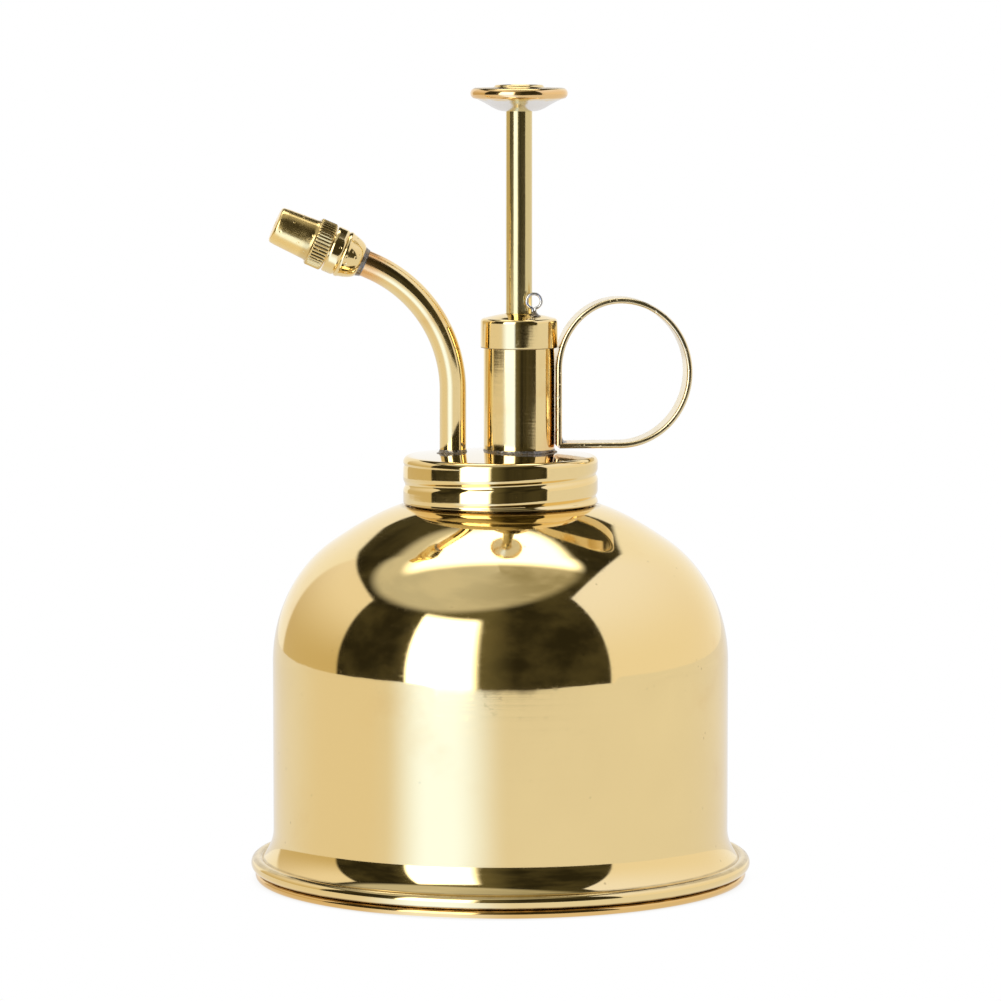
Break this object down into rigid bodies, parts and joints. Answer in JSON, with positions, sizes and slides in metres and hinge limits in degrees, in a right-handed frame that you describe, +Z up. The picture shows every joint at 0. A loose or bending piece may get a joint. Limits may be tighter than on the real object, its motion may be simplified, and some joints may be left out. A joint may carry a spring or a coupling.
{
  "type": "hand mister",
  "caption": "Brass plant mister: a bell-shaped water tank, a screw cap with a thumb pump, a curved spout with a turning spray nozzle, and a finger loop.",
  "frame": {"origin": "centre of the round foot, on the surface the mister stands on", "axes": "+Z up along the tank's axis; +X towards the finger loop, -X towards the spout and its nozzle; +Y completes the right-handed frame, and the split pin is on the -Y side of the pump"},
  "size_m": [0.1, 0.1, 0.1584],
  "materials": {
    "sheet_brass": "mirror polished",
    "turned_brass": "turned and polished",
    "steel": "bright stainless",
    "rubber": "matte black",
    "nylon": "natural",
    "felt": "oiled felt"
  },
  "bodies": {
    "tank": {"tank_shell": "sheet_brass", "base_plate": "sheet_brass", "neck_ring": "sheet_brass"},
    "cap_seal": {"cap_gasket": "rubber"},
    "cap": {"cap_shell": "sheet_brass", "spout_tube": "sheet_brass", "finger_loop": "sheet_brass", "valve_body": "turned_brass", "ball_stop_pin": "steel", "passage_plug": "turned_brass", "delivery_pipe": "sheet_brass", "dip_tube": "nylon", "strainer": "nylon", "pump_barrel": "sheet_brass", "gland_cap": "sheet_brass", "gland_bush": "nylon", "gland_packing": "felt", "split_pin": "steel", "return_spring": "steel", "nozzle_body": "turned_brass", "nozzle_o_ring": "rubber", "swirl_core": "turned_brass"},
    "plunger": {"thumb_knob": "turned_brass", "plunger_rod": "sheet_brass", "piston": "turned_brass", "piston_screw": "steel", "piston_ring_lower": "rubber", "piston_ring_upper": "rubber"},
    "suction_ball": {"suction_ball": "steel"},
    "delivery_ball": {"delivery_ball": "steel"},
    "nozzle_seal": {"nozzle_washer": "rubber"},
    "nozzle_tip": {"nozzle_tip": "turned_brass"}
  },
  "joints": [
    {"name": "cap_lift", "type": "slide", "parent": "tank", "child": "cap_seal", "axis": [0, 0, 1], "range_m": [0, 0.0132]},
    {"name": "cap_turn", "type": "hinge", "parent": "cap_seal", "child": "cap", "pos_m": [0, 0, 0.0848], "axis": [0, 0, 1], "range_deg": [0, 1080]},
    {"name": "plunger_slide", "type": "slide", "parent": "cap", "child": "plunger", "axis": [0, 0, 1], "range_m": [-0.035, 0], "stiffness_N_per_m": 100, "springref_m": 0.02, "deforming": ["return_spring"]},
    {"name": "suction_ball_lift", "type": "slide", "parent": "cap", "child": "suction_ball", "axis": [0, 0, 1], "range_m": [0, 0.0012]},
    {"name": "delivery_ball_lift", "type": "slide", "parent": "cap", "child": "delivery_ball", "axis": [0, 0, 1], "range_m": [0, 0.0009]},
    {"name": "nozzle_advance", "type": "slide", "parent": "cap", "child": "nozzle_seal", "axis": [-0.9157, 0, 0.4019], "range_m": [0, 0.0016]},
    {"name": "nozzle_turn", "type": "hinge", "parent": "nozzle_seal", "child": "nozzle_tip", "pos_m": [-0.02785, 0, 0.12359], "axis": [-0.9157, 0, 0.4019], "range_deg": [0, 720]}
  ],
  "couplings": [
    {"joint": "cap_turn", "follows": "cap_lift", "rad_per_m": 1428},
    {"joint": "nozzle_turn", "follows": "nozzle_advance", "rad_per_m": 7853.9}
  ]
}
